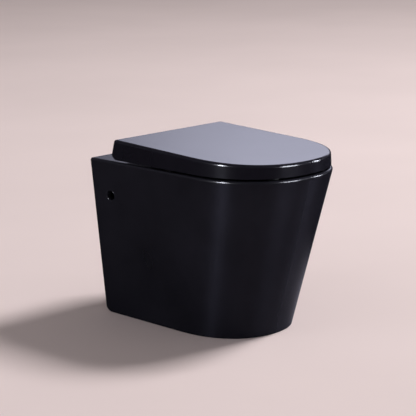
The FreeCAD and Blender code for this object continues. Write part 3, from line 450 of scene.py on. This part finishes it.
# %% Grained plastic of hinge blocks and buttons
finishes["hinge_plastic"] = make_smooth_finish(
    "black_hinge_plastic",
    colour=(0.011, 0.011, 0.012),
    clouds={"Scale": 60, "Amount": 0.25},
    dust=0.02,
    marks={"Roughness": 0.45, "Wiped": 0.08, "Scuffs": 0.05},
    relief={"Wave Scale": 40, "Wave Height": 0.0001, "Peel Scale": 2600, "Peel Height": 0.00003},
    specular=0.4,
)
finishes["button_plastic"] = make_smooth_finish(
    "grey_button_plastic",
    colour=(0.12, 0.12, 0.125),
    clouds={"Scale": 80, "Amount": 0.15},
    dust=0.02,
    marks={"Roughness": 0.4, "Wiped": 0.1, "Scuffs": 0.1},
    relief={"Wave Scale": 50, "Wave Height": 0.00005, "Peel Scale": 2600, "Peel Height": 0.00002},
    specular=0.5,
)

# %% [markdown]
# ## The plain moulded pieces
# The dampers inside the hinge are uncoloured plastic, a little yellow, as nobody sees them. Pads,
# feet and sleeves are rubber: dull, dusty and uneven in colour. Its softness could be modelled as
# well, but nothing presses on it visibly, so the finish alone tells it from the plastics.

# %% White damper plastic and grey rubber
finishes["damper_plastic"] = make_smooth_finish(
    "white_damper_plastic",
    colour=(0.62, 0.6, 0.55),
    clouds={"Scale": 80, "Amount": 0.08},
    dust=0.01,
    marks={"Roughness": 0.4, "Wiped": 0.05, "Scuffs": 0.05},
    relief={"Wave Scale": 60, "Wave Height": 0.00005, "Peel Scale": 2000, "Peel Height": 0.00002},
    specular=0.5,
)
finishes["soft_rubber"] = make_smooth_finish(
    "grey_rubber",
    colour=(0.06, 0.06, 0.062),
    clouds={"Scale": 70, "Amount": 0.25},
    dust=0.04,
    marks={"Roughness": 0.75, "Wiped": 0.1, "Scuffs": 0.02},
    relief={"Wave Scale": 60, "Wave Height": 0.0001, "Peel Scale": 1800, "Peel Height": 0.00005},
    specular=0.25,
)

# %% [markdown]
# The bushes in the rear wall keep the glaze off the steel of the wall studs. They are a tough white
# plastic with a slightly waxy, coarser skin. The damper's plastic would nearly do, but these stand
# at the back in full view, so they get their own grain.

# %% White plastic of the stud bushes
finishes["bush_plastic"] = make_smooth_finish(
    "white_bush_plastic",
    colour=(0.66, 0.65, 0.62),
    clouds={"Scale": 50, "Amount": 0.08},
    dust=0.02,
    marks={"Roughness": 0.5, "Wiped": 0.08, "Scuffs": 0.04},
    relief={"Wave Scale": 40, "Wave Height": 0.0001, "Peel Scale": 1600, "Peel Height": 0.00003},
    specular=0.5,
)

# %% [markdown]
# ## The steels
# Pins, shafts, bases, bolts and nuts of the hinge are turned from stainless steel, which stays
# bright. The pins and shafts lie along x, so the lathe's lines follow one another along x. The
# clamps on the wall studs are plated with zinc, which is bluer and duller and clouds with age.

# %% Stainless and zinc plated steel
finishes["bright_steel"] = make_metal_finish(
    "bright_steel",
    colour=(0.62, 0.61, 0.6),
    bloom=0.08,
    roughness=0.28,
    line_scale=(4000, 60, 60),
)
finishes["zinc_steel"] = make_metal_finish(
    "zinc_plated_steel",
    colour=(0.55, 0.56, 0.6),
    bloom=0.18,
    roughness=0.42,
    line_scale=(60, 60, 3000),
)

# %% [markdown]
# ## Dress the pieces
# The record of the CAD part names a finish for each piece. Every piece could be given its material
# by hand, but read from the record, none is forgotten, and a new piece is dressed by itself.

# %% Give each piece its finish
for part in frame["record"]["subparts"]:
    for holder in nodes[part["node"]].material_slots:
        holder.material = finishes[part["material_slot"]]

# %% [markdown]
# ## The lips of the key holes
# Glaze draws back from a sharp edge and sets in a thin round lip, and the lip of each side key hole
# catches a point of light. Bevelling the casting would do it, but the frame's meshes stay as they
# are. A ring is laid into the edge instead: a ray cast at the wall beside the hole gives its place
# and slope, so the ring lies in the wall and only its rounded face shows.

# %% Key hole lips
HOLE_Y, HOLE_Z = 0.207, 0.3
RING_RADIUS = 0.0132
LIP_RADIUS = 0.0014
LIP_DEPTH = 0.0008
FLATTENED = 0.9
CLEAR_OF_THE_HOLE = 0.006
OUTSIDE_X = 0.3


def make_hole_lip(name, side):
    """The lip of the left (side -1) or right (side 1) key hole, sunk a little in the wall."""
    beside = HOLE_Y - (RING_RADIUS + CLEAR_OF_THE_HOLE)
    hit, wall, slope, _ = nodes["pan"].ray_cast((side * OUTSIDE_X, beside, HOLE_Z), (-side, 0, 0))
    bpy.ops.object.select_all(action="DESELECT")
    bpy.ops.mesh.primitive_torus_add(
        major_segments=72,
        minor_segments=16,
        major_radius=RING_RADIUS,
        minor_radius=LIP_RADIUS,
    )
    lip = bpy.context.object
    lip.name = name
    bpy.ops.object.mode_set(mode="EDIT")
    bpy.ops.mesh.select_all(action="SELECT")
    bpy.ops.transform.resize(value=(1, 1, FLATTENED))
    bpy.ops.object.mode_set(mode="OBJECT")
    centre = Vector(wall) - slope * LIP_DEPTH
    centre.y = HOLE_Y
    turned = slope.to_track_quat("Z", "Y").to_matrix().to_4x4()
    lip.matrix_world = Matrix.Translation(centre) @ turned
    bpy.ops.object.transform_apply(location=True, rotation=True, scale=True)
    bpy.ops.object.shade_smooth()
    lip.data.materials.append(finishes["glaze"])
    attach(lip, "pan_body")
    print(name, "at", tuple(round(number, 4) for number in centre), "hit:", hit)


for name, side in (("key_hole_lip_left", -1), ("key_hole_lip_right", 1)):
    make_hole_lip(name, side)

# %% [markdown]
# ## Floor and lamps
# The part stands on a pale sheet that runs out of the picture. Its colour is a warm, slightly
# pink white, as in the picture. A black glaze mirrors the floor all the way up its sides, and a
# photographer keeps that down with dark cards laid round the part. Here a painted reflection does
# it instead: a Light Path node shows a dark, dull metal sheet to rays that come off a glossy
# surface. That paints shade up the glaze's sides, and the lamps carry on in it below the horizon
# as soft painted bands. Only a patch beside the right of the foot keeps part of its pale colour,
# a painted glow that climbs the right edge in the picture.

# %% The floor
FLOOR_RADIUS = 40
PAPER_COLOUR = (0.81, 0.7, 0.705, 1)
# painted shade: the dark sheet that glossy rays see in place of the pale floor
PAINTED_SHADE_SHEET_COLOUR = (0.03, 0.03, 0.039, 1)
PAINTED_SHADE_SHEET_ROUGHNESS = 0.45
# painted glow: a pale, cool patch beside the right of the foot, seen only by glossy rays, for the
# glow up the pan's right edge
PAINTED_GLOW_COLOUR = (0.66, 0.64, 0.8, 1)
PAINTED_GLOW_CENTRE = (0.25, -0.07, 0)
PAINTED_GLOW_EDGE = (0.05, 0.4)
PAINTED_GLOW_STRENGTH = 0.42


def make_floor():
    bpy.ops.object.select_all(action="DESELECT")
    bpy.ops.mesh.primitive_circle_add(vertices=96, radius=FLOOR_RADIUS, fill_type="NGON")
    floor = bpy.context.object
    floor.name = "studio_floor"
    material, tree, paper = start_material("pale_studio_paper")
    tone = use_group(tree, cloudy_colour, {"Color": PAPER_COLOUR, "Scale": 1.2, "Amount": 0.02})
    skin = use_group(
        tree,
        waves_and_peel,
        {"Wave Scale": 3, "Wave Height": 0.0004, "Peel Scale": 900, "Peel Height": 0.00002},
    )
    tree.links.new(tone.outputs["Color"], paper.inputs["Base Color"])
    tree.links.new(skin.outputs["Normal"], paper.inputs["Normal"])
    paper.inputs["Roughness"].default_value = 0.5
    paper.inputs["Specular IOR Level"].default_value = 0
    place = add_node(tree, "TexCoord").outputs["Object"]
    # painted glow mask: how much of the cool patch glossy rays see, fading away from its centre
    away = add_node(tree, "VectorMath", {0: place, 1: PAINTED_GLOW_CENTRE}, operation="DISTANCE")
    pale = add_fade(
        tree, away.outputs["Value"], PAINTED_GLOW_EDGE, to=(PAINTED_GLOW_STRENGTH, 0), kind="SMOOTHSTEP"
    )
    # painted reflection and shade: glossy rays see this dark metal sheet, which darkens the glaze's
    # sides and carries the strips as bands
    painted_dark_sheet = add_node(
        tree, "BsdfGlossy", {"Color": PAINTED_SHADE_SHEET_COLOUR, "Roughness": PAINTED_SHADE_SHEET_ROUGHNESS}
    )
    painted_glow_shader = add_node(tree, "BsdfDiffuse", {"Color": PAINTED_GLOW_COLOUR})
    mirrored = add_shader_mix(tree, pale, painted_dark_sheet.outputs["BSDF"], painted_glow_shader.outputs["BSDF"])
    ray = add_node(tree, "LightPath").outputs
    chosen = add_shader_mix(tree, ray["Is Glossy Ray"], paper.outputs["BSDF"], mirrored)
    tree.links.new(chosen, tree.nodes["Material Output"].inputs["Surface"])
    floor.data.materials.append(material)
    return floor


floor = make_floor()
print(floor.name, "across:", tuple(round(size, 1) for size in floor.dimensions))

# %% [markdown]
# The lamps are soft boxes. A large one high on the right lights the scene and makes the shadow on
# the left, and a weak one on the left fills it. A sun lamp would do the same in one line, but its
# shadow has a hard edge. Glossy surfaces don't see these two, because the picture shows no
# reflection of them. The power follows from how bright a lamp's face should look, so a lamp can
# grow and its reflection stays as bright.


# %% Soft boxes
def add_soft_box(name, place, aim, width, height, brightness, colour=(1, 1, 1)):
    """A rectangular lamp whose face looks this bright, where 1 is a white sheet in full light."""
    data = bpy.data.lights.new(name, "AREA")
    data.shape = "RECTANGLE"
    data.size = width
    data.size_y = height
    data.energy = brightness * math.pi * width * height
    data.color = colour
    lamp = bpy.data.objects.new(name, data)
    lamp.location = place
    lamp.rotation_euler = (Vector(aim) - Vector(place)).to_track_quat("-Z", "Y").to_euler()
    lamp.visible_camera = False
    bpy.context.scene.collection.objects.link(lamp)
    print(name, "at", place, "power", round(data.energy), "W")
    return lamp


key = add_soft_box(
    "key",
    place=(6.1, -2.2, 8),
    aim=(-3, 0, 0),
    width=2.6,
    height=2.6,
    brightness=43,
    colour=(1, 0.97, 0.95),
)
fill = add_soft_box(
    "fill", place=(-4, 1.5, 2), aim=(0, 0, 0.2), width=2, height=2, brightness=1.4
)
for lamp in (key, fill):
    lamp.visible_glossy = False

# %% [markdown]
# Three low strips stand round the front and do the opposite: no dull surface is lit by them, but
# the glaze and the lid mirror them, as the short lines of light along the two rims and the upright
# bands on the rounded front. Lines painted on the rims would be wrong from any other side. Where a
# line falls on the rim says from which side its strip comes, and how long it is says how wide the
# strip is.

# %% Strips that only glossy surfaces see
STRIP_AIM = (0, 0, 0.4)
STRIP_HEIGHT = 1.1
STRIP_COLOUR = (0.87, 0.89, 1)

for name, place, width, brightness in (
    ("left_strip", (-3, 0.19, 1), 0.5, 82),
    ("middle_strip", (0.78, -2.9, 1), 1.3, 36),
    ("right_strip", (2.52, -1.62, 1), 0.4, 42),
):
    strip = add_soft_box(name, place, STRIP_AIM, width, STRIP_HEIGHT, brightness, STRIP_COLOUR)
    strip.visible_diffuse = False

# %% [markdown]
# The world fills the shadows with an even, pale light, as white studio walls do. What the lid
# mirrors is separate: low behind the part, to the right, there is a bright card with a cool tint,
# and the rest of the room is dim. The card could be a real plane, but then it would stand in the
# way in other views, so it is drawn from the direction of the ray. It fades to the left, so the
# lid is darker towards its heel, and towards the ground, so the deck of the pan, which mirrors a
# little lower than the sloping lid, stays darker too. Only glossy rays see it.

# %% World
WALLS_COLOUR = (0.25, 0.236, 0.23, 1)
BACKGROUND_COLOUR = (0.78, 0.67, 0.67, 1)
DIM_ROOM_COLOUR = (0.12, 0.115, 0.15, 1)
CARD_COLOUR = (1.75, 1.76, 2.2, 1)
CARD_DIRECTION = (0.836, 0.503, 0.22)
CARD_EDGE = (0.932, 0.985)
CARD_FOOT = (0.17, 0.24)


def make_world():
    world = bpy.data.worlds.new("studio_walls")
    world.use_nodes = True
    tree = world.node_tree
    sky = add_node(tree, "TexCoord").outputs["Generated"]
    near_card = add_node(
        tree, "VectorMath", {0: sky, 1: CARD_DIRECTION}, operation="DOT_PRODUCT"
    )
    edge = add_fade(tree, near_card.outputs["Value"], CARD_EDGE, kind="SMOOTHSTEP")
    height = add_node(tree, "SeparateXYZ", {"Vector": sky})
    foot = add_fade(tree, height.outputs["Z"], CARD_FOOT, kind="SMOOTHSTEP")
    bright = add_math(tree, "MULTIPLY", edge, foot)
    mirrored = add_mix(tree, bright, DIM_ROOM_COLOUR, CARD_COLOUR)
    ray = add_node(tree, "LightPath").outputs
    lit = add_mix(tree, ray["Is Glossy Ray"], WALLS_COLOUR, mirrored)
    shown = add_mix(tree, ray["Is Camera Ray"], lit, BACKGROUND_COLOUR)
    tree.links.new(shown, tree.nodes["Background"].inputs["Color"])
    return world


bpy.context.scene.world = make_world()
bpy.context.scene.view_settings.view_transform = "Standard"
print("world:", bpy.context.scene.world.name)
